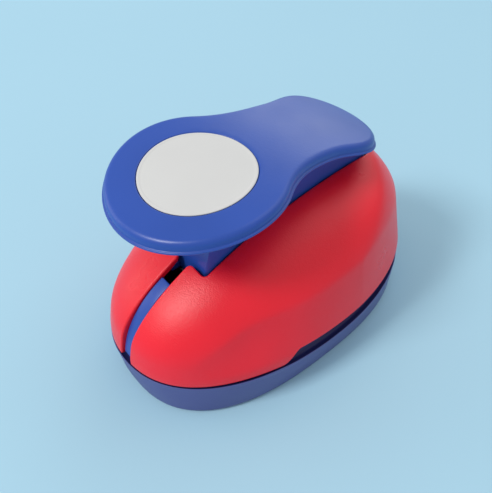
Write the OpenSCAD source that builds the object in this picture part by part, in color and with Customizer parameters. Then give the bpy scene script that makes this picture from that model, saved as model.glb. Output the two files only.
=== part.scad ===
// Lever punch for cutting round shapes from paper or thin card.
// The paper slides in from the rear between the base and the cover, and
// pressing the round head drives the cutter through the paper into the die.
// The origin is the middle of the footprint on the table. Z is up, the length
// runs along Y, and the round head of the lever points to -Y.

/* [Body] */
// Length of the body where base and cover meet
body_l = 125; // [100:1:160]
// Width of the body where base and cover meet
body_w = 81; // [65:1:100]
// Height of the joint between base and cover
part_z = 17; // [12:0.5:22]
// Length and width of the base at the table, as a share of the body
foot_share = 0.955; // [0.85:0.01:1]
// Height of the cover above the joint
dome_h = 42.6; // [38:0.1:46]
// Fullness of the top from side to side, where 2 is an ellipse
dome_n = 2.4; // [2:0.05:3]
// Where the top of the cover is highest, measured to the rear
dome_y = 32; // [20:0.5:36]
// Height at which the rounded side walls would meet
side_h = 57; // [48:0.5:60]
// Slope of the flat lower side, in mm for each mm of height
side_draft = 0.12; // [0.08:0.01:0.2]
// Wall thickness of the base and the cover
wall = 2.4; // [1.8:0.1:3.2]

/* [Paper slot] */
// Height of the gap that the paper slides into
gap = 1.2; // [0.8:0.1:2]
// Height of the table the paper lies on
paper_z = 21; // [19:0.5:24]
// Where the slot starts, measured from the middle
slot_start = -19; // [-30:1:-10]
// Thickness of the die plate and of the guide plate
plate_t = 3; // [2:0.5:4]

/* [Cutter] */
// Diameter of the shape that is cut
cut_d = 50.8; // [38:0.1:54]
// Where the cutter stands along the body
cut_y = 12; // [8:0.5:14]
// Gap between the cutter and the die, all round
die_gap = 0.05; // [0.02:0.01:0.1]
// Distance from the middle to a guide post
post_x = 28.8; // [28:0.1:30]
// Diameter of a guide post
post_d = 3; // [2.5:0.1:3.6]

/* [Lever] */
// Radius of the round head
head_r = 28.7; // [24:0.1:32]
// Where the middle of the head stands
head_y = -25.3; // [-30:0.1:-20]
// Width of the narrow waist
waist_w = 35.4; // [28:0.2:40]
// Width of the wide part near the tail
tail_w = 38.8; // [32:0.2:44]
// Where the tail ends
tail_y = 44; // [40:0.5:50]
// Height of the highest point of the lever
lever_z = 80.9; // [70:0.1:90]
// Radius of the long arch of the lever
arch_r = 160; // [120:5:240]
// Where the arch is highest
arch_y = -18; // [-30:1:0]
// Thickness of the lever along its edge
lever_t = 3.7; // [3:0.1:5]
// Width of the hollow arm below the lever
arm_w = 19.6; // [16:0.2:22]
// Diameter of the round label in the head
label_d = 36; // [30:0.5:40]

/* [Pivot] */
// Where the pivot pin stands along the body
pivot_y = 36; // [34:0.5:38]
// Height of the pivot pin
pivot_z = 40; // [38:0.5:41]
// Diameter of the pivot pin
pin_d = 4; // [3:0.1:5]
// Gap between the pin and the arm that turns on it
pin_gap = 0.05; // [0.02:0.01:0.1]

/* [Lock] */
// Width of the slot in the front of the cover
lock_slot_w = 5.4; // [4:0.1:7]
// Radius of the curved outer face of the slider
lock_r = 32.6; // [32:0.1:34]
// Where the curve of the slider has its centre, along the body
lock_y = -28; // [-30:0.5:-26]
// Height of the centre of that curve
lock_z = 13; // [11:0.5:15]

/* [Hidden] */
$fn = 64;
eps = 0.01;
half_l = body_l / 2;
half_w = body_w / 2;
guide_z = paper_z + gap;
guide_top = guide_z + plate_t;
die_z = paper_z - plate_t;
cut_r = cut_d / 2 - die_gap;
cutter_z = guide_z + 0.6;
cutter_top = 30;
ear_z = 34;
hub_top = 35.1;
roller_r = 3;
roller_z = hub_top + 0.4 + roller_r;
arch_z = lever_z - arch_r;
pocket = 1.3;
arm_front = 68.3;
arm_wall = 2.2;
arm_top = arch_r - lever_t + pocket - 0.05;
screw_d = 3;
head_d = 6;
frame_xy = [[15, -25], [14, -42]];
cover_xy = [25, -28];
rear_xy = [26, 34];
foot_xy = [[14.4, 44.2], [14.4, 48.6]];

// ---- shared shapes ----

// Upright block with an oval outline, from height z0 to z1.
module oval(a, b, z0, z1) {
  translate([0, 0, z0])
    multmatrix([[b / a, 0, 0, 0], [0, 1, 0, 0], [0, 0, 1, 0]])
      cylinder(r = a, h = z1 - z0);
}

// Wall with an oval outline, t thick.
module oval_wall(a, b, t, z0, z1) {
  difference() {
    oval(a, b, z0, z1);
    oval(a - t, b - t, z0 - 1, z1 + 1);
  }
}

// Solid shape of the cover, drawn in by d: a long rounded top, cut by rounded side walls
// and by a steep, nearly flat lower side that leaves a soft edge along the body.
module dome(d) {
  steps = 12;
  a = half_l - 0.3 - d;
  b = half_w - 0.15 - d;
  h = dome_h - d;
  up = 30;
  curve = [for (i = [-steps:steps]) let (t = 90 * i / steps)
    [h * pow(cos(t), 2 / dome_n), (b + 2.2) * sign(t) * pow(abs(sin(t)), 2 / dome_n)]];
  translate([0, 0, part_z])
    intersection() {
      translate([0, dome_y, 0])
        scale([1, (a + dome_y) / h, 1])
          rotate([0, 90, 0])
            rotate_extrude($fn = 180)
              polygon(curve);
      scale([b / a, 1, (side_h - d) / a])
        sphere(r = a, $fn = 180);
      translate([0, 0, -up])
        scale([b / a, 1, 1])
          cylinder(r1 = a * (1 + side_draft * up / b), r2 = a * (1 - side_draft * 60 / b),
            h = 60 + up, $fn = 180);
    }
}

// The two mirrored places of a part that stands at x to the right.
module both_sides() {
  children();
  mirror([1, 0, 0])
    children();
}

// Outline drawn in the Y-Z plane and given a width along X.
module across(w) {
  rotate([90, 0, 90])
    linear_extrude(w, center = true)
      children();
}

// Round bar along X.
module bar(r, w, y, z) {
  translate([-w / 2, y, z])
    rotate([0, 90, 0])
      cylinder(r = r, h = w);
}

// Rectangle with round corners, from y0 to y1.
module rounded(w, y0, y1, r) {
  translate([-w / 2 + r, y0])
    square([w - 2 * r, y1 - y0]);
  translate([-w / 2, y0 + r])
    square([w, y1 - y0 - 2 * r]);
  for (x = [-1, 1], y = [y0 + r, y1 - r])
    translate([x * (w / 2 - r), y])
      circle(r = r);
}

// Pan-head screw with the underside of its head at height z.
module screw(z, depth, d = screw_d, hd = head_d, hh = 1.8) {
  difference() {
    union() {
      translate([0, 0, z])
        cylinder(d = hd, h = hh);
      translate([0, 0, z - depth])
        cylinder(d = d, h = depth + eps);
    }
    translate([0, 0, z + hh - 1])
      for (a = [0, 90])
        rotate(a)
          translate([-hd * 0.3, -0.4, 0])
            cube([hd * 0.6, 0.8, 2]);
  }
}

// ---- housing ----

// Solid tapered tray on an oval, drawn in by d, from height z0 to z1.
module tray(d, z0, z1) {
  a0 = half_l * foot_share - d;
  a1 = half_l - d;
  multmatrix([[(half_w - d) / a1, 0, 0, 0], [0, 1, 0, 0], [0, 0, 1, 0]])
    rotate_extrude()
      polygon([[0, z0], [a0 - 1.6, z0], [a0 - 0.5, z0 + 0.4], [a0 + 0.1, z0 + 1.3],
        [a1, part_z - 0.2], [a1, z1], [0, z1]]);
}

module base_shell() {
  color([0.16, 0.20, 0.50])
  difference() {
    union() {
      difference() {
        tray(0, 0, part_z - 0.1);
        tray(wall, wall, part_z + 1);
        translate([-half_w - 1, slot_start, part_z - 0.9])
          cube([body_w + 2, half_l + 30, 5]);
      }
      // Lip inside the cover, and the ledge that carries the die plate.
      intersection() {
        tray(1, 1, paper_z + 5);
        union() {
          difference() {
            oval_wall(half_l - 2.1, half_w - 2.1, 2.6, part_z - 9, paper_z);
            // The lip stops below the closed front, where the cover sits down.
            translate([-half_w, -half_l - 1, part_z - 0.3])
              cube([body_w, half_l + slot_start + 3.4, 10]);
          }
          oval_wall(half_l - 4.6, half_w - 4.6, 3, wall - 0.2, die_z);
        }
      }
      translate([0, cut_y, 0])
        cylinder(r = cut_d / 2 + 3.4, h = die_z);
      both_sides() {
        for (p = frame_xy)
          translate([p[0], p[1], wall - eps])
            cylinder(d = 8, h = die_z - wall);
        translate([cover_xy[0], cover_xy[1], wall - eps])
          cylinder(d = 8, h = die_z - wall);
      }
    }
    translate([0, cut_y, -1])
      cylinder(r = cut_d / 2 + 1.6, h = 30);
    // Room for the lower end of the lock slider.
    translate([-5.4, -half_l + 2.1, part_z - 0.2])
      cube([10.8, 8, 10]);
    both_sides() {
      for (p = frame_xy)
        translate([p[0], p[1], 6])
          cylinder(d = screw_d, h = 20);
      translate([cover_xy[0], cover_xy[1], -1])
        cylinder(d = screw_d + 0.2, h = 30);
      translate([cover_xy[0], cover_xy[1], -1])
        cylinder(d = head_d + 0.6, h = 3.2);
    }
  }
}

module cover_shell() {
  top = guide_z - 0.2;
  color([0.85, 0.12, 0.16])
  difference() {
    union() {
      difference() {
        dome(0);
        dome(wall);
      }
      intersection() {
        dome(1);
        both_sides() {
          translate([cover_xy[0], cover_xy[1], guide_top])
            cylinder(d = 7, h = 40);
          translate([rear_xy[0], rear_xy[1], guide_top])
            cylinder(d = 6.4, h = 40);
        }
      }
    }
    translate([-half_l, -half_l, part_z - 60])
      cube([body_l, body_l, 60]);
    // Opening for the arm of the lever, with a narrow slot down to the front.
    linear_extrude(120)
      rounded(arm_w + 0.8, pivot_y - arm_front - 0.7, 41.5, 1.6);
    translate([-lock_slot_w / 2, -half_l - 5, part_z - 3])
      cube([lock_slot_w, half_l - 20, 60]);
    // Throat for the paper, with a short ramp at its closed end.
    across(body_w + 10)
      polygon([[slot_start - 3, part_z - 5], [slot_start - 3, part_z], [slot_start - 1.6, part_z + 1.2],
        [slot_start + 2, top - 1], [slot_start + 4, top - 0.2], [slot_start + 6, top],
        [half_l + 5, top], [half_l + 5, part_z - 5]]);
    both_sides() {
      translate([cover_xy[0], cover_xy[1], 0])
        cylinder(d = screw_d, h = 38);
      translate([rear_xy[0], rear_xy[1], 0])
        cylinder(d = screw_d, h = 34);
    }
  }
}

// ---- cutting frame ----

// Flat steel plate with an outline of four arcs that fits inside the base.
module plate(z0, z1) {
  side_r = 78.8;
  translate([0, 0, z0])
    linear_extrude(z1 - z0)
      intersection() {
        circle(r = half_l - 9.5, $fn = 160);
        translate([half_w - 5.2 - side_r, 0])
          circle(r = side_r, $fn = 200);
        translate([side_r - half_w + 5.2, 0])
          circle(r = side_r, $fn = 200);
      }
}

module plate_holes() {
  both_sides() {
    for (p = frame_xy)
      translate([p[0], p[1], 0])
        cylinder(d = screw_d + 0.3, h = 60);
    translate([cover_xy[0], cover_xy[1], 0])
      cylinder(d = screw_d + 0.3, h = 60);
  }
}

module die_plate() {
  color([0.70, 0.71, 0.73])
  difference() {
    plate(die_z, paper_z);
    translate([0, cut_y, 0])
      cylinder(r = cut_d / 2, h = 60, $fn = 96);
    plate_holes();
  }
}

module gap_spacer() {
  color([0.62, 0.63, 0.65])
  difference() {
    intersection() {
      plate(paper_z, guide_z);
      translate([-half_w, -half_l, 0])
        cube([body_w, half_l + slot_start - 1, 60]);
    }
    plate_holes();
  }
}

module guide_plate() {
  color([0.70, 0.71, 0.73])
  difference() {
    plate(guide_z, guide_top);
    translate([0, cut_y, 0])
      cylinder(r = cut_r + 0.07, h = 60, $fn = 96);
    plate_holes();
    both_sides() {
      translate([post_x, cut_y, 0])
        cylinder(d = post_d, h = 60);
      translate([rear_xy[0], rear_xy[1], 0])
        cylinder(d = screw_d + 0.3, h = 60);
      translate([rear_xy[0], rear_xy[1], guide_z - eps])
        cylinder(d1 = head_d, d2 = screw_d + 0.3, h = 1.5);
      for (p = foot_xy)
        translate([p[0], p[1], 0])
          cylinder(d = screw_d - 0.5, h = 60);
    }
  }
}

module frame_screws() {
  color([0.78, 0.78, 0.80])
  both_sides()
    for (p = frame_xy)
      translate([p[0], p[1], 0])
        screw(guide_top, 17);
}

module cover_screws() {
  color([0.78, 0.78, 0.80])
  both_sides()
    translate([cover_xy[0], cover_xy[1], 2.2])
      mirror([0, 0, 1])
        screw(0, 34);
}

module rear_cover_screws() {
  color([0.78, 0.78, 0.80])
  both_sides()
    translate([rear_xy[0], rear_xy[1], guide_z])
      difference() {
        union() {
          translate([0, 0, 0.02])
            cylinder(d1 = head_d - 0.1, d2 = screw_d, h = 1.5);
          cylinder(d = screw_d - 0.05, h = 11);
        }
        for (a = [0, 90])
          rotate(a)
            translate([-1.6, -0.35, -1])
              cube([3.2, 0.7, 1.8]);
      }
}

module guide_posts() {
  color([0.80, 0.80, 0.82])
  both_sides()
    translate([post_x, cut_y, guide_z + 0.2])
      difference() {
        cylinder(d = post_d, h = 37.6 - guide_z);
        translate([0, 0, 36.75 - guide_z - 0.2])
          difference() {
            cylinder(d = post_d + 1, h = 0.5);
            translate([0, 0, -1])
              cylinder(d = post_d - 0.8, h = 3);
          }
      }
}

module post_clips() {
  color([0.35, 0.36, 0.38])
  both_sides()
    translate([post_x, cut_y, 36.8])
      difference() {
        cylinder(d = 5, h = 0.4);
        translate([0, 0, -1])
          cylinder(d = post_d - 0.78, h = 3);
        translate([-0.8, 0, -1])
          cube([1.6, 5, 3]);
      }
}

// Coil of round wire with its lowest turn at height 0.
module coil(r, wire, turns, h) {
  n = round(turns * 20);
  m = 8;
  points = [for (i = [0:n], j = [0:m - 1])
    let (a = 360 * turns * i / n, b = 360 * j / m)
      [(r + wire * cos(b)) * cos(a), (r + wire * cos(b)) * sin(a),
        wire + (h - 2 * wire) * i / n + wire * sin(b)]];
  sides = [for (i = [0:n - 1], j = [0:m - 1])
    [i * m + j, i * m + (j + 1) % m, (i + 1) * m + (j + 1) % m, (i + 1) * m + j]];
  polyhedron(points, concat(sides, [[for (j = [m - 1:-1:0]) j]], [[for (j = [0:m - 1]) n * m + j]]));
}

module return_springs() {
  color([0.75, 0.75, 0.78])
  both_sides()
    translate([post_x, cut_y, guide_top + 0.05])
      coil(2.15, 0.35, 5, ear_z - guide_top - 0.1);
}

// ---- pivot ----

module pivot_bracket() {
  in_x = arm_w / 2 + 0.6;
  color([0.66, 0.67, 0.70])
  difference() {
    union() {
      both_sides() {
        translate([in_x + 1, 0, 0])
          across(2) {
            polygon([[40, guide_top], [54, guide_top], [51, 33], [pivot_y + 3.2, pivot_z + 3.2],
              [pivot_y, pivot_z - 4.5], [40, 33]]);
            translate([pivot_y, pivot_z])
              circle(r = 4.5);
          }
        translate([in_x, 42, guide_top])
          cube([6.6, 8.6, 2]);
      }
      translate([-in_x - 1, 51, guide_top])
        cube([2 * in_x + 2, 2, 7]);
    }
    bar(pin_d / 2, 60, pivot_y, pivot_z);
    both_sides()
      for (p = foot_xy)
        translate([p[0], p[1], 0])
          cylinder(d = screw_d - 0.4, h = 60);
  }
}

module bracket_screws() {
  color([0.78, 0.78, 0.80])
  both_sides()
    for (p = foot_xy)
      translate([p[0], p[1], 0])
        screw(guide_top + 2, 4.8, d = 2.5, hd = 4, hh = 1.4);
}

module pivot_pin() {
  color([0.80, 0.80, 0.82])
  difference() {
    bar(pin_d / 2, arm_w + 8, pivot_y, pivot_z);
    both_sides()
      translate([arm_w / 2 + 3, pivot_y, pivot_z])
        rotate([0, 90, 0])
          difference() {
            cylinder(d = pin_d + 1, h = 0.5);
            translate([0, 0, -1])
              cylinder(d = pin_d - 1, h = 3);
          }
  }
}

module pivot_clips() {
  color([0.35, 0.36, 0.38])
  both_sides()
    translate([arm_w / 2 + 3.05, pivot_y, pivot_z])
      rotate([0, 90, 0])
        difference() {
          cylinder(d = 7, h = 0.4);
          translate([0, 0, -1])
            cylinder(d = pin_d - 0.98, h = 3);
          translate([0, -1.1, -1])
            cube([5, 2.2, 3]);
        }
}

// ---- lever ----

// Smooth blend from p to q with the slopes dp and dq, at share t of the way.
function blend(p, q, dp, dq, t) =
  p * (1 + 2 * t) * pow(1 - t, 2) + dp * t * pow(1 - t, 2)
  + q * t * t * (3 - 2 * t) + dq * t * t * (t - 1);

// Half width of the lever at a place between the head and the widest part of the tail.
head_a = 35;
neck_y = head_y + head_r * sin(head_a);
waist_y = 15;
wide_y = 28;
function half_at(y) =
  y < waist_y ? blend(head_r * cos(head_a), waist_w / 2, -tan(head_a) * (waist_y - neck_y), 0,
    (y - neck_y) / (waist_y - neck_y))
  : blend(waist_w / 2, tail_w / 2, 0, 0, (y - waist_y) / (wide_y - waist_y));

// Outline of the lever, drawn in by d.
module lever_outline(d = 0) {
  head = [for (a = [-90:5:head_a - 5]) [head_r * cos(a), head_y + head_r * sin(a)]];
  neck = [for (i = [0:35]) let (y = neck_y + (wide_y - neck_y) * i / 35) [half_at(y), y]];
  tail = [for (a = [6:6:90]) [tail_w / 2 * cos(a), wide_y + (tail_y - wide_y) * sin(a)]];
  right = concat(head, neck, tail);
  n = len(right);
  full = concat(right, [for (i = [n - 2:-1:1]) [-right[i][0], right[i][1]]]);
  m = len(full);
  polygon([for (i = [0:m - 1])
    let (t = full[(i + 1) % m] - full[(i + m - 1) % m])
      full[i] + d * [-t[1], t[0]] / norm(t)]);
}

// Bar along X whose round face is the arch of the lever.
module arch(r, w = 80) {
  bar(r, w, arch_y, arch_z, $fn = 200);
}

module lever_top() {
  color([0.12, 0.22, 0.62])
  difference() {
    intersection() {
      translate([0, 0, 50])
        linear_extrude(40)
          lever_outline();
      difference() {
        arch(arch_r);
        arch(arch_r - lever_t, 90);
      }
    }
    // Hollow underside inside the edge.
    intersection() {
      translate([0, 0, 50])
        linear_extrude(40)
          lever_outline(2.6);
      arch(arch_r - lever_t + pocket);
    }
    // Shallow seat for the label.
    intersection() {
      translate([0, head_y, 60])
        cylinder(d = label_d + 0.5, h = 40);
      difference() {
        arch(arch_r + 5);
        arch(arch_r - 0.5, 90);
      }
    }
    for (y = [-9, 22])
      translate([0, y, 50])
        cylinder(d = 2.6, h = arch_z + sqrt(pow(arch_r, 2) - pow(y - arch_y, 2)) - 51);
  }
}

module label_disc() {
  color([0.90, 0.89, 0.86])
  intersection() {
    translate([0, head_y, 60])
      cylinder(d = label_d, h = 40);
    difference() {
      arch(arch_r - 0.05);
      arch(arch_r - 0.45, 90);
    }
  }
}

// Side view of the arm, drawn in by d, with its top below radius top_r.
module arm_side(d, top_r, low) {
  intersection() {
    translate([pivot_y, pivot_z])
      circle(r = arm_front - d, $fn = 200);
    translate([arch_y, arch_z])
      circle(r = top_r, $fn = 200);
    union() {
      polygon([[-40, 39.8 - low], [-5, 36.7 - low], [pivot_y, 36.7 - low], [39.5 - d, pivot_z],
        [39.5 - d, 100], [-40, 100]]);
      if (d == 0)
        translate([pivot_y, pivot_z])
          circle(r = 4.8);
    }
  }
}

module lever_arm() {
  color([0.12, 0.22, 0.62])
  difference() {
    union() {
      intersection() {
        across(arm_w)
          arm_side(0, arm_top, 0);
        linear_extrude(120)
          rounded(arm_w, pivot_y - arm_front, 60, 2);
      }
      // Catches for the storage lock.
      both_sides()
        translate([4.8, -35.8, 39.3])
          cube([3.2, 6.5, 2.5]);
    }
    across(arm_w - 2 * arm_wall)
      arm_side(arm_wall, arm_top - 2.5, 6);
    bar(pin_d / 2 + pin_gap, 60, pivot_y, pivot_z);
    bar(1.5, 60, cut_y, roller_z);
    for (y = [-9, 22])
      translate([0, y, 60])
        cylinder(d = screw_d + 0.3, h = 40);
  }
}

module lever_screws() {
  color([0.78, 0.78, 0.80])
  for (y = [-9, 22])
    translate([0, y, arch_z + sqrt(pow(arm_top - 2.5, 2) - pow(y - arch_y, 2)) - 0.75])
      mirror([0, 0, 1])
        screw(0, 5, d = 2.6, hd = 5);
}

module press_roller() {
  color([0.80, 0.80, 0.82])
  union() {
    bar(roller_r, arm_w - 2 * arm_wall - 0.4, cut_y, roller_z);
    bar(1.5, arm_w - 0.6, cut_y, roller_z);
  }
}

// ---- moving punch ----

module carrier_places() {
  for (a = [45:90:315])
    translate([0, cut_y, 0])
      rotate(a)
        translate([13.4, 0, 0])
          children();
}

module cutter() {
  color([0.76, 0.77, 0.80])
  difference() {
    translate([0, cut_y, cutter_z])
      cylinder(r = cut_r, h = cutter_top - cutter_z, $fn = 96);
    translate([0, cut_y, 0])
      cylinder(r = cut_r - 3.6, h = 26.4);
    carrier_places()
      cylinder(d = 2.6, h = 60);
  }
}

module punch_carrier() {
  color([0.12, 0.13, 0.15])
  difference() {
    union() {
      translate([0, cut_y, cutter_top]) {
        cylinder(r = 18, h = 3);
        cylinder(r = 9, h = hub_top - cutter_top);
      }
      translate([-25.8, cut_y - 4, cutter_top])
        cube([51.6, 8, 4]);
      both_sides() {
        translate([20, cut_y - 2.8, cutter_top + 3])
          cube([post_x - 20, 5.6, 3.5]);
        translate([post_x, cut_y, ear_z])
          cylinder(r = 2.8, h = 2.5);
      }
    }
    both_sides() {
      translate([post_x, cut_y, 0])
        cylinder(d = post_d + 0.12, h = 60);
      translate([post_x, cut_y, 0])
        cylinder(r = 2.8, h = ear_z);
    }
    carrier_places()
      cylinder(d = screw_d + 0.2, h = 60);
  }
}

module carrier_screws() {
  color([0.78, 0.78, 0.80])
  carrier_places()
    screw(cutter_top + 3, 6.2, d = 2.6, hd = 5, hh = 1.1);
}

// ---- storage lock ----

// Piece of a ring around the centre of the lock's curve, between two angles.
module lock_arc(r0, r1, a0, a1, w) {
  across(w)
    intersection() {
      translate([lock_y, lock_z])
        difference() {
          circle(r = r1, $fn = 200);
          circle(r = r0, $fn = 200);
        }
      translate([lock_y, lock_z])
        polygon([[0, 0], [-90 * cos(a0), 90 * sin(a0)], [-90 * cos((a0 + a1) / 2), 90 * sin((a0 + a1) / 2)],
          [-90 * cos(a1), 90 * sin(a1)]]);
    }
}

module lock_slider() {
  color([0.12, 0.22, 0.62])
  union() {
    lock_arc(30, lock_r, 8.5, 66, lock_slot_w - 0.6);
    lock_arc(28.9, 30.2, 14, 62, 8);
    lock_arc(19, 30.1, 60.5, 65.5, 4);
    bar(1.2, 16, lock_y - 20 * cos(63), lock_z + 20 * sin(63));
  }
}

base_shell();
cover_shell();
die_plate();
gap_spacer();
guide_plate();
frame_screws();
cover_screws();
rear_cover_screws();
guide_posts();
post_clips();
return_springs();
pivot_bracket();
bracket_screws();
pivot_pin();
pivot_clips();
lever_top();
label_disc();
lever_arm();
lever_screws();
press_roller();
cutter();
punch_carrier();
carrier_screws();
lock_slider();
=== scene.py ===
"""Looks for the lever punch: finer shells, materials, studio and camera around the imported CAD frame."""

import math

import bmesh
import bpy
import numpy as np
from mathutils import Matrix, Vector
from mathutils.geometry import delaunay_2d_cdt
from mathutils.kdtree import KDTree


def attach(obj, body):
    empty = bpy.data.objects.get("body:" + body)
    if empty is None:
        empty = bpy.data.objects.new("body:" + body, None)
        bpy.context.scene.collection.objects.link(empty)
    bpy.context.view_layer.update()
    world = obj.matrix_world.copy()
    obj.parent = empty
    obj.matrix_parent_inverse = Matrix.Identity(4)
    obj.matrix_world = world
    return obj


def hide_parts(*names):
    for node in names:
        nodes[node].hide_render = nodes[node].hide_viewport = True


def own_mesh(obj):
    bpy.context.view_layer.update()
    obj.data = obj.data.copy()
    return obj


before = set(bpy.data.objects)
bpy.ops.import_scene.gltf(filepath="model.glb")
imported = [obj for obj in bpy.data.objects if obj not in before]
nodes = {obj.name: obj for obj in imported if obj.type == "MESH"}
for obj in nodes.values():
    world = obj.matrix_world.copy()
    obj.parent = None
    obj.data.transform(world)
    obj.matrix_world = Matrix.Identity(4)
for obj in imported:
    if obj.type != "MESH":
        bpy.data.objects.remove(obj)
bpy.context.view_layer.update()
MM = 0.001

# ------------------------------------------------------------------ camera

LENS_MM = 45.5
SENSOR_MM = 36.0
AZIMUTH, ELEVATION, ROLL = 50.51, 46.98, -0.92
DISTANCE = 0.24281
TARGET = Vector((-0.01037, 0.00126, 0.0209))


def make_camera():
    """Camera at the photograph's viewing angle."""
    a, e = math.radians(AZIMUTH), math.radians(ELEVATION)
    back = Vector((math.sin(a) * math.cos(e), -math.cos(a) * math.cos(e), math.sin(e)))
    data = bpy.data.cameras.new("camera")
    data.lens = LENS_MM
    data.sensor_width = SENSOR_MM
    data.clip_start = 0.01
    data.clip_end = 20
    cam = bpy.data.objects.new("camera", data)
    bpy.context.scene.collection.objects.link(cam)
    cam.rotation_mode = "QUATERNION"
    cam.location = TARGET + back * DISTANCE
    roll = Matrix.Rotation(math.radians(ROLL), 4, back).to_quaternion()
    cam.rotation_quaternion = roll @ (-back).to_track_quat("-Z", "Y")
    bpy.context.scene.camera = cam


make_camera()

# ------------------------------------------------------------------ materials


class Shader:
    """A small helper around one node material."""

    def __init__(self, name):
        self.mat = bpy.data.materials.new(name)
        self.mat.use_nodes = True
        self.tree = self.mat.node_tree
        self.bsdf = self.tree.nodes["Principled BSDF"]
        self.coord = self.tree.nodes.new("ShaderNodeTexCoord")

    def link(self, a, b):
        self.tree.links.new(a, b)

    def noise(self, scale, detail=3.0, rough=0.5, stretch=None):
        """Noise in the piece's own coordinates, drawn out along its axes by stretch."""
        n = self.tree.nodes.new("ShaderNodeTexNoise")
        n.inputs["Scale"].default_value = scale
        n.inputs["Detail"].default_value = detail
        n.inputs["Roughness"].default_value = rough
        place = self.coord.outputs["Object"]
        if stretch:
            mapping = self.tree.nodes.new("ShaderNodeMapping")
            mapping.inputs["Scale"].default_value = stretch
            self.link(place, mapping.inputs["Vector"])
            place = mapping.outputs["Vector"]
        self.link(place, n.inputs["Vector"])
        return n.outputs["Fac"]

    def remap(self, value, lo, hi, in_lo=0.3, in_hi=0.7):
        m = self.tree.nodes.new("ShaderNodeMapRange")
        m.inputs["From Min"].default_value = in_lo
        m.inputs["From Max"].default_value = in_hi
        m.inputs["To Min"].default_value = lo
        m.inputs["To Max"].default_value = hi
        self.link(value, m.inputs["Value"])
        return m.outputs["Result"]

    def ramp(self, value, *stops):
        """Colours between two stops of (position, colour)."""
        r = self.tree.nodes.new("ShaderNodeValToRGB")
        for point, (position, rgb) in zip(r.color_ramp.elements, stops):
            point.position = position
            point.color = (*rgb, 1)
        self.link(value, r.inputs["Fac"])
        return r.outputs["Color"]

    def bump(self, height, strength, distance, below=None):
        b = self.tree.nodes.new("ShaderNodeBump")
        b.inputs["Strength"].default_value = strength
        b.inputs["Distance"].default_value = distance
        self.link(height, b.inputs["Height"])
        if below is not None:
            self.link(below, b.inputs["Normal"])
        return b.outputs["Normal"]

    def feed(self, socket, value):
        self.link(value, self.bsdf.inputs[socket])

    def hold(self, socket, value):
        self.bsdf.inputs[socket].default_value = value


def scaled(rgb, factor):
    return tuple(min(1, c * factor) for c in rgb)


def moulded(name, rgb, rough, grain, specular=0.5):
    """Injection-moulded plastic: fine spark-eroded grain, slow flow marks and slight colour drift."""
    s = Shader(name)
    s.hold("Specular IOR Level", specular)
    s.feed("Base Color", s.ramp(s.noise(22, 2), (0.3, scaled(rgb, 0.92)), (0.7, scaled(rgb, 1.08))))
    s.feed("Roughness", s.remap(s.noise(55, 4), rough - 0.04, rough + 0.05))
    fine = s.bump(s.noise(2600, 2, 0.6), 0.16 * grain, 0.0002)
    s.feed("Normal", s.bump(s.noise(900, 2), 0.10 * min(grain, 1.2), 0.0003, fine))
    return s.mat


def metal(name, rgb, rough, along=(1, 14, 14)):
    """Ground or plated steel with drawn scratches and a little cloudiness."""
    s = Shader(name)
    s.hold("Metallic", 1.0)
    lines = s.noise(260, 4, stretch=along)
    s.feed("Base Color", s.ramp(s.noise(60, 3), (0.3, scaled(rgb, 0.86)), (0.7, rgb)))
    s.feed("Roughness", s.remap(lines, rough - 0.08, rough + 0.12))
    s.feed("Normal", s.bump(lines, 0.15, 0.0001))
    return s.mat


def card(name, rgb):
    """Matte card: faint fibre and a soft cloud of grey."""
    s = Shader(name)
    s.hold("Specular IOR Level", 0.25)
    s.feed("Base Color", s.ramp(s.noise(26, 3), (0.25, scaled(rgb, 0.93)), (0.75, rgb)))
    s.feed("Roughness", s.remap(s.noise(300, 3), 0.55, 0.68))
    s.feed("Normal", s.bump(s.noise(1800, 4, 0.7), 0.10, 0.0002))
    return s.mat


RED = moulded("red_cover_plastic", (0.90, 0.008, 0.024), 0.31, grain=3.0, specular=0.45)
BLUE = moulded("blue_lever_plastic", (0.018, 0.072, 0.38), 0.33, grain=0.6)
BLUE_DEEP = moulded("blue_base_plastic", (0.075, 0.085, 0.27), 0.42, grain=0.8)
# Darker blue that paints the shade in the groove under the cover and on the wall of the paper slot.
BLUE_PAINTED_SHADE = moulded("blue_painted_shade_plastic", (0.016, 0.022, 0.13), 0.5, grain=0.6)
LABEL = card("label_card", (0.64, 0.63, 0.61))
BLACK = moulded("black_nylon", (0.022, 0.023, 0.026), 0.5, grain=1.0)
STEEL = metal("ground_steel", (0.62, 0.62, 0.63), 0.32)
ZINC = metal("zinc_plate", (0.66, 0.66, 0.67), 0.28, along=(3, 3, 12))
DARK_STEEL = metal("spring_steel", (0.16, 0.16, 0.17), 0.35)

# ------------------------------------------------------------------ lines in a plane
# All shapes are worked out in mm, in the CAD's frame.


def smoothstep(x, lo, hi):
    t = np.clip((np.asarray(x, float) - lo) / (hi - lo), 0, 1)
    return t * t * (3 - 2 * t)


def unit(v):
    return v / np.maximum(np.linalg.norm(v, axis=-1, keepdims=True), 1e-12)


def signed_power(v, e):
    return np.sign(v) * np.abs(v) ** e


def straight(x, y):
    """Points of a straight run, where x or y is one number."""
    return np.column_stack(np.broadcast_arrays(x, y))


def arc(centre, r, a0, a1, count):
    """Points of an arc with both its ends. Angles in degrees from +X."""
    a = np.radians(np.linspace(a0, a1, count))
    return np.column_stack([centre[0] + r * np.cos(a), centre[1] + r * np.sin(a)])


def circle_loop(x, y, r, count):
    a = np.linspace(0, 2 * math.pi, count, endpoint=False)
    return np.column_stack([x + r * np.cos(a), y + r * np.sin(a)])


def rounded_box_loop(w, h, r):
    """Outline of a rounded rectangle round (0, 0), anticlockwise."""
    x, y = w / 2 - r, h / 2 - r
    corners = ((x, y, 0), (-x, y, 90), (-x, -y, 180), (x, -y, 270))
    return np.concatenate([arc((cx, cy), r, a, a + 90, 5) for cx, cy, a in corners])


def mirrored(right):
    """Closed line from its right half, which starts and ends on the middle line."""
    return np.concatenate([right, right[1:-1][::-1] * np.array([-1, 1])])


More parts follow.
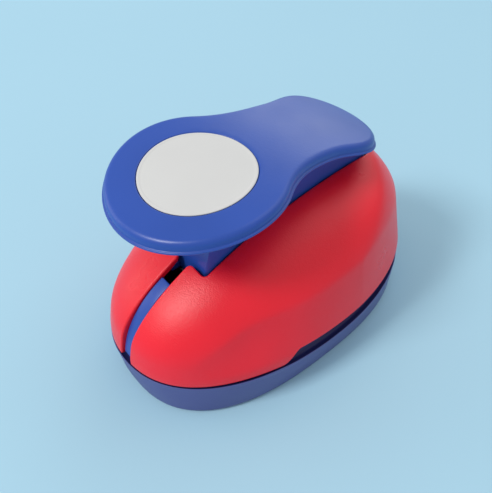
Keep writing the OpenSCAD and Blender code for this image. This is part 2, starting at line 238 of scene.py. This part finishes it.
def even_loop(loop, count):
    """The same closed line with evenly spaced points."""
    closed = np.concatenate([loop, loop[:1]])
    travelled = np.concatenate([[0], np.cumsum(np.linalg.norm(np.diff(closed, axis=0), axis=1))])
    at = np.linspace(0, travelled[-1], count, endpoint=False)
    return np.column_stack([np.interp(at, travelled, closed[:, 0]), np.interp(at, travelled, closed[:, 1])])


def inset(loop, d):
    """The same closed line moved in by d."""
    along = np.roll(loop, -1, 0) - np.roll(loop, 1, 0)
    return loop + d * unit(np.column_stack([-along[:, 1], along[:, 0]]))


def inside_polygon(points, loop):
    x, y = points[:, 0], points[:, 1]
    inside = np.zeros(len(points), bool)
    for (x1, y1), (x2, y2) in zip(loop, np.roll(loop, -1, 0)):
        hit = (y2 > y) != (y1 > y)
        if hit.any():
            inside ^= hit & (x < (x2 - x1) * (y - y1) / (y2 - y1) + x1)
    return inside


def far_from(points, loop, gap):
    tree = KDTree(len(loop))
    for i, p in enumerate(loop):
        tree.insert((p[0], p[1], 0), i)
    tree.balance()
    return np.array([tree.find((p[0], p[1], 0))[2] > gap for p in points])


def fill(loops, step, gap=0.5, reach=None):
    """Triangles between an outer line and the holes in it: points, with those of the lines first, and faces.

    Inner points lie on a hexagon-like net, and stay gap steps off the lines. The net starts at the corner
    of the outer line's box, or at (-reach, -reach).
    """
    border = np.concatenate(loops)
    lo, hi = (loops[0].min(0), loops[0].max(0)) if reach is None else ((-reach, -reach), (reach, reach))
    gx, gy = np.meshgrid(np.arange(lo[0], hi[0], step), np.arange(lo[1], hi[1], step * 0.866))
    gx[1::2] += step / 2
    net = np.column_stack([gx.ravel(), gy.ravel()])
    net = net[between(net, loops)]
    net = net[far_from(net, border, step * gap)]
    edges, start = [], 0
    for loop in loops:
        n = len(loop)
        edges += [(start + i, start + (i + 1) % n) for i in range(n)]
        start += n
    points = np.concatenate([border, net])
    verts, _, faces, origin, _, _ = delaunay_2d_cdt([Vector(p) for p in points], edges, [], 2, 1e-6)
    flat = np.array([tuple(v) for v in verts])
    place = [min(o) for o in origin]
    middle = np.array([flat[list(f)].mean(0) for f in faces])
    return points, [tuple(place[v] for v in f) for f, ok in zip(faces, between(middle, loops)) if ok]


def between(points, loops):
    keep = inside_polygon(points, loops[0])
    for hole in loops[1:]:
        keep &= ~inside_polygon(points, hole)
    return keep


# ------------------------------------------------------------------ pieces


def make_piece(name, points, faces, material, body, node):
    """A smooth closed mesh from points in mm, which takes the place of a CAD node."""
    mesh = bpy.data.meshes.new(name)
    mesh.from_pydata([tuple(p) for p in np.asarray(points) * MM], [], [tuple(f) for f in faces])
    mesh.validate()
    bm = bmesh.new()
    bm.from_mesh(mesh)
    bmesh.ops.recalc_face_normals(bm, faces=bm.faces)
    bm.to_mesh(mesh)
    bm.free()
    mesh.update()
    mesh.shade_smooth()
    mesh.materials.append(material)
    obj = bpy.data.objects.new(name, mesh)
    bpy.context.scene.collection.objects.link(obj)
    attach(obj, body)
    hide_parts(node)
    return obj


class Build:
    """Collects the points and faces of one piece, in mm."""

    def __init__(self):
        self.points, self.faces = [], []

    def ring(self, points):
        start = len(self.points)
        self.points += [tuple(p) for p in points]
        return list(range(start, start + len(points)))

    def level(self, loop, z):
        """Ring of a flat line at height z, which may differ from point to point."""
        return self.ring(np.column_stack([loop, np.broadcast_to(z, len(loop))]))

    def chain(self, rings):
        """Quads from each ring to the next."""
        for a, b in zip(rings, rings[1:]):
            for j in range(len(a)):
                k = (j + 1) % len(a)
                self.faces.append((a[j], a[k], b[k], b[j]))

    def ends(self, rings):
        self.faces += [tuple(rings[0]), tuple(rings[-1][::-1])]

    def cap(self, loops, rings, step, height):
        """Fill between rings. loops are the rings in plan, and height gives Z for new points from their Y."""
        points, faces = fill(loops, step)
        known = [i for ring in rings for i in ring]
        fresh = points[len(known) :]
        index = known + (self.level(fresh, height(fresh[:, 1])) if len(fresh) else [])
        self.faces += [tuple(index[v] for v in f) for f in faces]

    def piece(self, name, material, body, node):
        return make_piece(name, self.points, self.faces, material, body, node)


# ------------------------------------------------------------------ sizes taken over from the CAD

PART_Z = 17.0
HALF_L, HALF_W = 62.5, 40.5
DOME_A, DOME_B, DOME_H = 62.2, 40.35, 42.6
DOME_N, DOME_Y = 2.4, 32.0
TOP_B = DOME_B + 2.2
WALL = 2.4
SLOT_W, SLOT_START = 5.4, -19.0
THROAT_Z, PAPER_Z = 22.0, 21.0
CUT_R, CUT_Y = 25.4, 12.0
PIVOT_Y, ARM_W, ARM_FRONT = 36.0, 19.6, 68.3

# ------------------------------------------------------------------ cover: its outer face
# A single z in this section counts from the joint between cover and base. Whole points count from the floor.

# The cover is nearly an ellipse in plan, a little fuller.
PLAN_N = 2.16
# Above SHOULDER_Z the wall curves in, as if it closed SHOULDER_H higher up. It is drawn in at the foot too.
SHOULDER_Z, SHOULDER_H, SHOULDER_IN = 7.0, 52.0, 0.016
# How sharp the soft shoulder and the crease over the flat side are.
SOFT_EDGE, CREASE_EDGE = 60, 260
# Slope of the flat side at the rear, and how much it grows for each mm to the front, from FLAT_Y on.
FLAT_DRAFT, FLAT_GAIN, FLAT_Y, FLAT_RUN = 0.15, 0.0045, 14, 46
# Middle point from which the dome is seen, a length that reaches past it, and mm for a radian in its map.
CENTRE_Y, REACH, MAP_R = 8.0, 130.0, 40


def smooth_max(values, sharp):
    """Largest of some fields, with the edge between them rounded off."""
    top = np.maximum.reduce(values)
    return top + np.log(sum(np.exp((v - top) * sharp) for v in values)) / sharp


def flat_draft(x, y):
    """Slope of the flat lower side: steep at the rear, laid back towards the front, gone round the nose."""
    slope = FLAT_DRAFT + FLAT_GAIN * np.clip(FLAT_Y - y, 0, FLAT_RUN)
    beside = smoothstep(np.abs(x) / DOME_B, 0.35, 0.82)
    return slope * (1 - smoothstep(-y, 2, 45) * (1 - beside))


def dome_field(x, y, z):
    """1 on the outer face of the cover and less inside it."""
    q = ((y - DOME_Y) / (DOME_A + DOME_Y)) ** 2 + (z / DOME_H) ** 2
    top = (np.abs(x / TOP_B) ** DOME_N + q ** (DOME_N / 2)) ** (1 / DOME_N)
    plan = (np.abs(x / DOME_B) ** PLAN_N + np.abs(y / DOME_A) ** PLAN_N) ** (1 / PLAN_N)
    tight = 1 - SHOULDER_IN * smoothstep(z, 0, 8)
    side = np.sqrt(plan**2 + (np.maximum(z - SHOULDER_Z, 0) / SHOULDER_H) ** 2) / tight
    flat = plan + flat_draft(x, y) * z / DOME_B
    return smooth_max([smooth_max([top, side], SOFT_EDGE), flat], CREASE_EDGE)


def halve(is_below, lo, hi, *like):
    """Where is_below stops being true between lo and hi, for arrays of the shape of like."""
    shape = np.broadcast_shapes(*(np.shape(v) for v in like))
    lo, hi = np.full(shape, float(lo)), np.full(shape, float(hi))
    for _ in range(36):
        mid = (lo + hi) / 2
        below = is_below(mid)
        lo = np.where(below, mid, lo)
        hi = np.where(below, hi, mid)
    return (lo + hi) / 2


def dome_point(t, s):
    """Place of the outer face that is seen from the middle point in direction t round and s up."""
    x, y, z = np.cos(t) * np.cos(s), np.sin(t) * np.cos(s), np.sin(s) + 0 * t
    r = halve(lambda r: dome_field(r * x, CENTRE_Y + r * y, r * z) < 1, 0, REACH, t, s)
    return np.stack([r * x, CENTRE_Y + r * y, PART_Z + r * z], -1)


def dome_normal(points):
    x, y, z = points.T
    z = z - PART_Z
    e = 0.02
    slope_x = dome_field(x + e, y, z) - dome_field(x - e, y, z)
    slope_y = dome_field(x, y + e, z) - dome_field(x, y - e, z)
    slope_z = dome_field(x, y, z + e) - dome_field(x, y, z - e)
    return unit(np.stack([slope_x, slope_y, slope_z], -1))


def angles_of(x, y, z):
    """Direction (t, s) of a place."""
    return np.arctan2(y - CENTRE_Y, x), np.arctan2(z, np.hypot(x, y - CENTRE_Y))


def angles_above(plan):
    """Direction (t, s) of the outer face above places of the plan."""
    x, y = plan.T
    return angles_of(x, y, halve(lambda z: dome_field(x, y, z) < 1, 0, DOME_H + 1, x))


def angles_in_front(x, z):
    """Direction (t, s) of the front of the dome at place x and height z."""
    y = halve(lambda y: dome_field(x, y, z) > 1, -DOME_A - 3, 0, z)
    return angles_of(x, y, z)


def angles_at_height(t, z):
    """Direction (t, s) of the outer face at height z, which is a height above the floor."""
    return t, halve(lambda s: dome_point(t, s)[..., 2] < z, 0, 1, t)


def to_map(t, s):
    """Flat map of the dome round its top."""
    r = (math.pi / 2 - s) * MAP_R
    return np.column_stack([r * np.cos(t), r * np.sin(t)])


def from_map(points):
    s = math.pi / 2 - np.hypot(points[:, 0], points[:, 1]) / MAP_R
    return np.arctan2(points[:, 1], points[:, 0]), np.clip(s, 0, math.pi / 2)


# ------------------------------------------------------------------ cover: the shell

# Rounding of the edge of the opening, and of the cover's foot.
EDGE, FOOT_EDGE = 0.7, 0.35
# Opening for the lever's arm, grown by the edge. Corners of the opening and of the mouth of the slot.
OPEN_HALF = ARM_W / 2 + 0.4 + EDGE
OPEN_REAR, OPEN_FRONT = 41.5 + EDGE, PIVOT_Y - ARM_FRONT - 0.7 - EDGE
OPEN_CORNER, MOUTH_CORNER = 1.6 + EDGE, 1.1
SLOT_HALF = SLOT_W / 2 + 0.8 * EDGE
# The foot stands this far above the joint, and steps up to the throat of the paper slot.
FOOT_GAP = 0.15
PATH_STEP, COVER_STEP = 0.5, 0.95


def foot_height(y):
    """Height of the cover's lower edge: on the joint in front, raised over the paper slot."""
    low = PART_Z + FOOT_GAP
    return low + (THROAT_Z - low) * smoothstep(y, SLOT_START - 3.2, SLOT_START + 3.6)


def opening_path():
    """Right half of the opening in plan, from its rear middle to the mouth of the slot."""
    straight_half = OPEN_HALF - OPEN_CORNER
    mouth = SLOT_HALF + MOUTH_CORNER
    return np.concatenate(
        [
            straight(np.arange(0, straight_half, PATH_STEP), OPEN_REAR),
            arc((straight_half, OPEN_REAR - OPEN_CORNER), OPEN_CORNER, 90, 0, 9),
            straight(
                OPEN_HALF,
                np.arange(OPEN_REAR - OPEN_CORNER - PATH_STEP, OPEN_FRONT + OPEN_CORNER, -PATH_STEP),
            ),
            arc((straight_half, OPEN_FRONT + OPEN_CORNER), OPEN_CORNER, 0, -90, 9),
            straight(np.arange(straight_half - PATH_STEP, mouth, -PATH_STEP), OPEN_FRONT),
            arc((mouth, OPEN_FRONT - MOUTH_CORNER), MOUTH_CORNER, 90, 180, 6),
        ]
    )


def cover_border():
    """Border of the cover's outer face on its flat map, and which of its points belong to the foot."""
    t_open, s_open = angles_above(opening_path())
    top = dome_point(t_open[-1:], s_open[-1:])[0, 2] - PART_Z
    down = np.linspace(top, FOOT_GAP, int(top / PATH_STEP))[1:]
    t_slot, s_slot = angles_in_front(SLOT_HALF, down)
    t_foot = np.linspace(t_slot[-1], math.pi / 2, 260)[1:]
    y_foot = dome_point(t_foot, np.full(len(t_foot), 0.05))[:, 1]
    t_foot, s_foot = angles_at_height(t_foot, foot_height(y_foot))
    right = to_map(np.concatenate([t_open, t_slot, t_foot]), np.concatenate([s_open, s_slot, s_foot]))
    loop = mirrored(right)
    is_foot = np.zeros(len(loop), bool)
    foot_start = len(right) - len(t_foot)
    is_foot[foot_start : foot_start + 2 * len(t_foot) - 1] = True
    return loop, is_foot


def border_outward(outer, normal, faces, count):
    """Direction out of the shell along its outer face, for the first count points, which go round it."""
    p, n = outer[:count], normal[:count]
    out = unit(np.cross(unit(np.roll(p, -1, 0) - np.roll(p, 1, 0)), n))
    inward = np.zeros_like(p)
    for f in faces:
        middle = outer[list(f)].mean(0)
        for v in f:
            if v < count:
                inward[v] += middle - outer[v]
    return out * np.where((out * inward).sum(1) > 0, -1, 1)[:, None]


def upright_share(points):
    """1 at the opening and 0 a few mm away from it."""
    past = np.maximum(OPEN_FRONT - points[:, 1], points[:, 1] - OPEN_REAR)
    away = np.hypot(np.maximum(np.abs(points[:, 0]) - OPEN_HALF, 0), np.maximum(past, 0))
    return 1 - smoothstep(away, 0.3, 4.5)


def build_cover():
    loop, is_foot = cover_border()
    count = len(loop)
    net, net_faces = fill([loop], COVER_STEP, gap=0.55, reach=math.pi / 2 * MAP_R)
    outer = dome_point(*from_map(net))
    normal = dome_normal(outer)
    out = border_outward(outer, normal, net_faces, count)
    # Straight down at the opening, so that the lever's arm passes the wall, and square to the face elsewhere.
    inwards = -normal + normal * np.array([1, 1, 0]) * upright_share(outer)[:, None]
    p, n, deeper = outer[:count], normal[:count], inwards[:count]
    radius = np.where(is_foot, FOOT_EDGE, EDGE)[:, None]
    shell = Build()
    top = shell.ring(outer)
    rings, normals = [top[:count]], [normal]
    for a in np.radians([18, 36, 54, 72, 90]):
        rings.append(shell.ring(p + out * radius * math.sin(a) + deeper * radius * (1 - math.cos(a))))
        normals.append(unit(n * math.cos(a) + out * math.sin(a)))
    rings.append(shell.ring(p + out * radius + deeper * (WALL - 0.3)))
    normals.append(out)
    inner = outer + inwards * WALL
    inner[:count] += out * radius * 0.6
    bottom = shell.ring(inner)
    rings.append(bottom[:count])
    normals.append(-normal)
    shell.chain(rings)
    shell.faces += [tuple(top[v] for v in f) for f in net_faces]
    shell.faces += [tuple(bottom[v] for v in f[::-1]) for f in net_faces]
    obj = shell.piece("cover_skin", RED, "frame", "cover_shell")
    obj.data.normals_split_custom_set_from_vertices([tuple(v) for v in np.concatenate(normals)])


build_cover()

# ------------------------------------------------------------------ lever

HEAD_R, HEAD_Y, HEAD_A = 28.7, -25.3, math.radians(35)
WAIST_W, TAIL_W = 35.4, 38.8
WAIST_Y, WIDE_Y, TAIL_Y = 15.0, 28.0, 44.0
ARCH_R, ARCH_Y, LEVER_Z, LEVER_T = 160.0, -18.0, 80.9, 3.7
ARCH_Z = LEVER_Z - ARCH_R
# Wall and depth of the hollow underside. Rounding of the top edge, and how far it stands in from the lip.
RIM_W, POCKET = 2.6, 1.3
FILLET, LEDGE = 1.7, 0.68
LABEL_R, SEAT_R, SEAT_DEPTH = 18.0, 18.25, 0.5
LABEL_POINTS, SEAT_POINTS = 160, 120


def hermite(p, q, dp, dq, t):
    """Cubic from p to q with slopes dp and dq."""
    keep = (1 - t) ** 2
    return p * (1 + 2 * t) * keep + dp * t * keep + q * t * t * (3 - 2 * t) + dq * t * t * (t - 1)


def lever_outline():
    """Edge of the lever, anticlockwise from the front, as in the CAD."""
    neck_y = HEAD_Y + HEAD_R * math.sin(HEAD_A)
    a = np.radians(np.arange(-90, 35, 2.5))
    head = np.column_stack([HEAD_R * np.cos(a), HEAD_Y + HEAD_R * np.sin(a)])
    y = np.linspace(neck_y, WIDE_Y, 48)
    run = WAIST_Y - neck_y
    front = hermite(HEAD_R * math.cos(HEAD_A), WAIST_W / 2, -math.tan(HEAD_A) * run, 0, (y - neck_y) / run)
    rear = hermite(WAIST_W / 2, TAIL_W / 2, 0, 0, (y - WAIST_Y) / (WIDE_Y - WAIST_Y))
    neck = np.column_stack([np.where(y < WAIST_Y, front, rear), y])
    a = np.linspace(0, math.pi / 2, 32)[1:]
    tail = np.column_stack([TAIL_W / 2 * np.cos(a), WIDE_Y + (TAIL_Y - WIDE_Y) * np.sin(a)])
    return even_loop(mirrored(np.concatenate([head, neck, tail])), 300)


def arch_height(y, depth=0.0):
    return ARCH_Z + np.sqrt((ARCH_R - depth) ** 2 - (y - ARCH_Y) ** 2)


def arched(shell, loop, depth):
    """Ring of a flat line laid on the lever's arch, or below it by depth."""
    return shell.level(loop, arch_height(loop[:, 1], depth))


def build_lever_top():
    """Lever with a rounded top edge, a small lip under it, a hollow underside and a seat for the label."""
    edge = lever_outline()
    shell = Build()
    # Inset and depth, from the hollow underside out, round the lip and up to the top.
    pocket = [(RIM_W, LEVER_T - POCKET), (RIM_W, LEVER_T - 0.2), (RIM_W - 0.2, LEVER_T)]
    lip = [(0.5, 0), (0.2, 0.06), (0.04, 0.2), (0, 0.42)]
    lip += [(0.03, 0.62), (0.12, 0.74), (0.26, 0.79), (0.6, 0.8)]
    ledge = [(LEDGE, LEVER_T - 0.9), (LEDGE, 2.0)]
    top = [(d, -h) for d, h in arc((LEDGE + FILLET, -FILLET), FILLET, 180, 90, 9)] + [(2.9, 0.0)]
    section = pocket + [(d, LEVER_T - h) for d, h in lip] + ledge + top
    rings = [arched(shell, inset(edge, d), h) for d, h in section]
    shell.chain(rings)
    seat = [(SEAT_R + 0.45, 0.0), (SEAT_R + 0.2, 0.04), (SEAT_R + 0.05, 0.16), (SEAT_R, SEAT_DEPTH)]
    circles = [circle_loop(0, HEAD_Y, r, SEAT_POINTS) for r, _ in seat]
    seat_rings = [arched(shell, loop, d) for loop, (_, d) in zip(circles, seat)]
    shell.chain(seat_rings)
    shell.cap(circles[-1:], seat_rings[-1:], 3, lambda y: arch_height(y, SEAT_DEPTH))
    shell.cap([inset(edge, section[-1][0]), circles[0]], [rings[-1], seat_rings[0]], 1.6, arch_height)
    shell.cap([inset(edge, RIM_W)], rings[:1], 3, lambda y: arch_height(y, LEVER_T - POCKET))
    shell.piece("lever_skin", BLUE, "lever", "lever_top")


def build_label():
    """Thin card with a pressed rim."""
    shell = Build()
    # Radius and depth below the arch.
    section = [(17.9, 0.44), (LABEL_R, 0.36), (LABEL_R, 0.18), (17.88, 0.08), (17.7, 0.055)]
    section += [(17.3, 0.055), (17.15, 0.09), (17.0, 0.16), (16.8, 0.17)]
    circles = [circle_loop(0, HEAD_Y, r, LABEL_POINTS) for r, _ in section]
    rings = [arched(shell, loop, d) for loop, (_, d) in zip(circles, section)]
    shell.chain(rings)
    for end in (0, -1):
        depth = section[end][1]
        shell.cap([circles[end]], [rings[end]], 2.2, lambda y: arch_height(y, depth))
    shell.piece("label_card", LABEL, "lever", "label_disc")


build_lever_top()
build_label()

# ------------------------------------------------------------------ base

FOOT_A, FOOT_B, FOOT_N = 59.3, 36.3, 2.55
# The upper edge: how far it is drawn in, and its height. DECK_Z is the floor inside, and BORE_R its outlet.
RIM_IN, RIM_Z = 0.8, 16.1
DECK_Z, BORE_R = 16.0, CUT_R + 1.6
# How far the flat underside, the wall of the paper slot and the floor inside are drawn in.
UNDER_IN, SLOT_WALL_IN, DECK_IN = 1.9, 3.1, 4.75
# Mouths of the two long screws that hold the cover, from below.
MOUTH_X, MOUTH_Y, MOUTH_R, MOUTH_DEPTH = 25.0, -28.0, 3.3, 2.15
BASE_POINTS, BORE_POINTS, MOUTH_POINTS = 320, 120, 40


def base_loop(z, d):
    """Outline of the base at height z, drawn in by d."""
    share = np.clip(z / PART_Z, 0, 1) ** 0.9
    n = FOOT_N + (PLAN_N - FOOT_N) * share
    t = np.linspace(0, 2 * math.pi, BASE_POINTS, endpoint=False)
    x = (FOOT_B + (HALF_W - FOOT_B) * share) * signed_power(np.cos(t), 2 / n)
    y = (FOOT_A + (HALF_L - FOOT_A) * share) * signed_power(np.sin(t), 2 / n)
    return inset(even_loop(np.column_stack([x, y]), BASE_POINTS), d)


def build_base():
    """Tray with a rounded foot, a bevelled groove under the cover and the wall of the paper slot."""
    shell = Build()
    foot = [(0.0, UNDER_IN), (0.06, 1.35), (0.25, 0.85), (0.6, 0.42), (1.1, 0.12), (1.8, 0.0)]
    rings = [shell.level(base_loop(z, d), z) for z, d in foot]
    for z in np.linspace(3.2, 15.2, 9):
        rings.append(shell.level(base_loop(z, (RIM_IN - 0.05) * z / 15.2), z))
    top = base_loop(PART_Z, RIM_IN)
    rim = RIM_Z - 0.1 * smoothstep(top[:, 1], SLOT_START - 3.5, SLOT_START)
    for d, drop in ((0, 0.4), (0.04, 0.12), (0.12, 0.03), (0.24, 0), (0.34, 0.1), (1.7, 1.1)):
        rings.append(shell.level(inset(top, d), rim - drop))
    # From here on the faces of the groove and the slot wall take the painted shade colour.
    painted_shade_from = (len(rings) - 3) * BASE_POINTS
    rises = smoothstep(top[:, 1], SLOT_START - 3.0, SLOT_START + 1.2)
    wall = RIM_Z + 0.1 + (PAPER_Z - RIM_Z - 0.1) * rises
    wall_side = np.maximum(wall - 0.15, rim + 0.04)
    rings.append(shell.level(inset(top, SLOT_WALL_IN), rim - 1.1))
    rings.append(shell.level(inset(top, SLOT_WALL_IN), wall_side))
    rings.append(shell.level(inset(top, SLOT_WALL_IN + 0.2), wall))
    rings.append(shell.level(inset(top, DECK_IN - 0.15), wall))
    rings.append(shell.level(inset(top, DECK_IN), DECK_Z))
    shell.chain(rings)
    painted_shade_to = len(shell.faces)
    below = circle_loop(0, CUT_Y, BORE_R + 0.5, BORE_POINTS)
    bore = circle_loop(0, CUT_Y, BORE_R, BORE_POINTS)
    bore_rings = [shell.level(below, 0), shell.level(bore, 0.5), shell.level(bore, DECK_Z)]
    shell.chain(bore_rings)
    holes, hole_rings = [below], [bore_rings[0]]
    for side in (-1, 1):
        outer = circle_loop(side * MOUTH_X, MOUTH_Y, MOUTH_R + 0.1, MOUTH_POINTS)
        inner = circle_loop(side * MOUTH_X, MOUTH_Y, MOUTH_R, MOUTH_POINTS)
        mouth = [shell.level(outer, 0), shell.level(inner, 0.2), shell.level(inner, MOUTH_DEPTH)]
        shell.chain(mouth)
        shell.faces.append(tuple(mouth[-1]))
        holes.append(outer)
        hole_rings.append(mouth[0])
    shell.cap([base_loop(0, UNDER_IN)] + holes, [rings[0]] + hole_rings, 4, lambda y: 0 * y)
    shell.cap([inset(top, DECK_IN), bore], [rings[-1], bore_rings[-1]], 5, lambda y: 0 * y + DECK_Z)
    obj = shell.piece("base_skin", BLUE_DEEP, "frame", "base_shell")
    # Painted shade: the groove under the cover and the wall of the paper slot get a darker blue that stands
    # in for the shade in the recess under the cover's overhang.
    obj.data.materials.append(BLUE_PAINTED_SHADE)
    for index in range(painted_shade_from, painted_shade_to):
        obj.data.polygons[index].material_index = 1


build_base()

# ------------------------------------------------------------------ lock slider

LOCK_Y, LOCK_Z, LOCK_R = -28.0, 13.0, 32.6
BAR_R, BAR_ANGLE, BAR_LENGTH, BAR_THICK = 20.0, math.radians(63), 16.0, 1.2


def lock_bar(shell, w, r_in, r_out, a0, a1, edge, count):
    """Curved bar round the centre of the lock, w wide, with all its edges rounded. Angles in degrees."""
    middle, thick = (r_in + r_out) / 2, r_out - r_in
    turn = math.degrees(edge / middle)
    # Angle along the bar and how far its section is drawn in there.
    low = [(a0 + turn * (1 - math.cos(k)), edge * (1 - math.sin(k))) for k in np.radians([0, 30, 60, 90])]
    body = [(a, 0.0) for a in np.linspace(a0 + turn, a1 - turn, count)[1:-1]]
    high = [(a1 - (a - a0), d) for a, d in low[::-1]]
    rings = []
    for a, d in low + body + high:
        section = rounded_box_loop(w - 2 * d, thick - 2 * d, max(edge - d, 0.05))
        r = middle + section[:, 1]
        y, z = LOCK_Y - r * math.cos(math.radians(a)), LOCK_Z + r * math.sin(math.radians(a))
        rings.append(shell.ring(np.column_stack([section[:, 0], y, z])))
    shell.chain(rings)
    shell.ends(rings)


def build_slider():
    """Strip in the slot, its wider guide behind the cover, the stem and the cross bar."""
    shell = Build()
    # Width, inner and outer radius, first and last angle, rounding, and number of sections.
    lock_bar(shell, 4.5, 30.0, LOCK_R - 0.15, 8.5, 66, 0.3, 40)
    lock_bar(shell, 8.0, 28.9, 30.2, 14, 62, 0.3, 30)
    lock_bar(shell, 4.0, 19.0, 30.1, 60.5, 65.5, 0.3, 4)
    centre = (LOCK_Y - BAR_R * math.cos(BAR_ANGLE), LOCK_Z + BAR_R * math.sin(BAR_ANGLE))
    end, chamfer = BAR_LENGTH / 2, 0.3
    left = [(-end, BAR_THICK - chamfer), (chamfer - end, BAR_THICK)]
    right = [(-x, r) for x, r in left[::-1]]
    rings = []
    for x, r in left + right:
        rings.append(shell.ring(np.column_stack([np.full(24, x), circle_loop(*centre, r, 24)])))
    shell.chain(rings)
    shell.ends(rings)
    shell.piece("slider_skin", BLUE, "lock", "lock_slider")


build_slider()

# ------------------------------------------------------------------ return springs

POST_X = 28.8
SPRING_FOOT, SPRING_TOP = 25.25, 33.95
SPRING_R, WIRE_R, SPRING_TURNS = 2.15, 0.35, 6.5
# Share of the height that the closed end turns climb, and the share of the turns at each end.
CLOSED_RISE, CLOSED_TURNS = 0.16, 0.06


def build_springs():
    """Two coil springs with closed end turns, built at one length, though in the punch they shorten as the
    lever goes down.
    """
    shell = Build()
    share = np.linspace(0, 1, 260)
    open_rise = smoothstep(share, CLOSED_TURNS, 1 - CLOSED_TURNS)
    climb = CLOSED_RISE * share + (1 - CLOSED_RISE) * open_rise
    middle = SPRING_FOOT + WIRE_R + (SPRING_TOP - SPRING_FOOT - 2 * WIRE_R) * climb
    b = np.linspace(0, 2 * math.pi, 10, endpoint=False)
    for side in (-1, 1):
        rings = []
        for a, z in zip(2 * math.pi * SPRING_TURNS * share, middle):
            r = SPRING_R + WIRE_R * np.cos(b)
            x, y = side * POST_X + r * math.cos(a), CUT_Y + r * math.sin(a)
            rings.append(shell.ring(np.column_stack([x, y, z + WIRE_R * np.sin(b)])))
        shell.chain(rings)
        shell.ends(rings)
    obj = shell.piece("spring_coils", ZINC, "frame", "return_springs")
    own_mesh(obj)


build_springs()

# ------------------------------------------------------------------ carried-over CAD nodes

GROUND = ("die_plate", "gap_spacer", "guide_plate", "pivot_bracket", "cutter")
PLATED = ("frame_screws", "cover_screws", "rear_cover_screws", "bracket_screws", "lever_screws")
PLATED += ("carrier_screws", "guide_posts", "pivot_pin", "press_roller")
CAD_LOOKS = (
    (BLUE, ("lever_arm",)),
    (BLACK, ("punch_carrier",)),
    (STEEL, GROUND),
    (ZINC, PLATED),
    (DARK_STEEL, ("post_clips", "pivot_clips")),
)
for material, names in CAD_LOOKS:
    for name in names:
        mesh = nodes[name].data
        mesh.materials.clear()
        mesh.materials.append(material)

# ------------------------------------------------------------------ studio


def make_floor():
    """Plain pale floor."""
    mesh = bpy.data.meshes.new("floor")
    bm = bmesh.new()
    bmesh.ops.create_grid(bm, x_segments=4, y_segments=4, size=6)
    bm.to_mesh(mesh)
    bm.free()
    obj = bpy.data.objects.new("floor", mesh)
    bpy.context.scene.collection.objects.link(obj)
    s = Shader("floor_paper")
    s.hold("Specular IOR Level", 0.0)
    s.hold("Roughness", 1.0)
    cloud = s.ramp(s.noise(3, 2), (0.3, (0.395, 0.622, 0.742)), (0.7, (0.405, 0.632, 0.752)))
    s.feed("Base Color", cloud)
    mesh.materials.append(s.mat)


def area_light(name, location, size, power, size_y=None, tint=(1, 1, 1)):
    """Soft light that looks at the middle of the part."""
    data = bpy.data.lights.new(name, "AREA")
    data.energy = power
    data.color = tint
    data.shape = "RECTANGLE"
    data.size = size
    data.size_y = size_y or size
    obj = bpy.data.objects.new(name, data)
    bpy.context.scene.collection.objects.link(obj)
    obj.location = location
    obj.rotation_mode = "QUATERNION"
    obj.rotation_quaternion = (Vector((0, 0, 0.03)) - obj.location).to_track_quat("-Z", "Y")


def make_world(rgb, strength):
    world = bpy.data.worlds.new("studio")
    bpy.context.scene.world = world
    world.use_nodes = True
    background = world.node_tree.nodes["Background"]
    background.inputs["Color"].default_value = (*rgb, 1)
    background.inputs["Strength"].default_value = strength


make_floor()
make_world((0.90, 0.95, 1.0), 0.62)
area_light("key", (-0.38, -1.62, 1.82), 0.60, 30, tint=(1.0, 0.98, 0.96))
area_light("top", (0.10, 1.50, 2.10), 2.2, 11)
area_light("tail_glow", (-1.55, 2.10, 0.90), 1.5, 8, size_y=1.0, tint=(0.93, 0.98, 1.0))
area_light("left_fill", (-1.90, -1.30, 0.65), 1.2, 6)
bpy.context.scene.view_settings.view_transform = "Standard"
